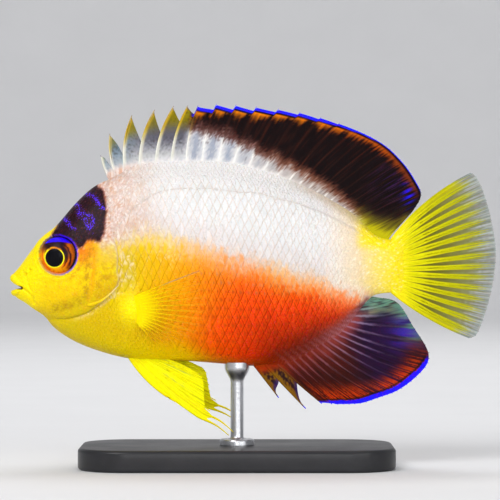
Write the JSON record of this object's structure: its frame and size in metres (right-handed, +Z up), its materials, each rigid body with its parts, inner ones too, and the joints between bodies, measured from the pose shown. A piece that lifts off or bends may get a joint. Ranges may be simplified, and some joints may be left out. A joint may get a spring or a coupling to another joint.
{
  "type": "multicolor angelfish model",
  "caption": "Life-size still model of a small reef angelfish with spread fins, swimming to the left on a plain flat display stand.",
  "frame": {"origin": "floor level under the centre of the model's box, on the fish's middle plane", "axes": "+Z up, -X towards the fish's snout, +X towards its tail, +Y towards its right flank"},
  "size_m": [0.09, 0.032, 0.067],
  "materials": {
    "head_yellow": "satin, bright yellow with a dark nape patch and violet-blue lines",
    "flank_orange": "satin, scaled, cream in front through yellow and orange to dark red behind",
    "tail_yellow": "satin, pale yellow",
    "fin_dark": "satin, brown-black with an orange band and a bright blue edge",
    "fin_violet": "satin, violet brown with pale rays and a bright blue edge",
    "fin_yellow": "thin, partly see-through yellow",
    "eye": "wet gloss, black pupil in a dark orange iris",
    "stand_plate": "satin black",
    "stand_steel": "brushed"
  },
  "bodies": {
    "root": {"head": "head_yellow", "lower_jaw": "head_yellow", "gill_cover_left": "head_yellow", "gill_cover_right": "head_yellow", "torso": "flank_orange", "tail_stalk": "tail_yellow", "eye_left": "eye", "eye_right": "eye", "dorsal_fin": "fin_dark", "anal_fin": "fin_violet", "caudal_fin": "fin_yellow", "pectoral_fin_left": "fin_yellow", "pectoral_fin_right": "fin_yellow", "pelvic_fin_left": "fin_yellow", "pelvic_fin_right": "fin_yellow", "stand_base": "stand_plate", "stand_rod": "stand_steel"}
  },
  "joints": []
}
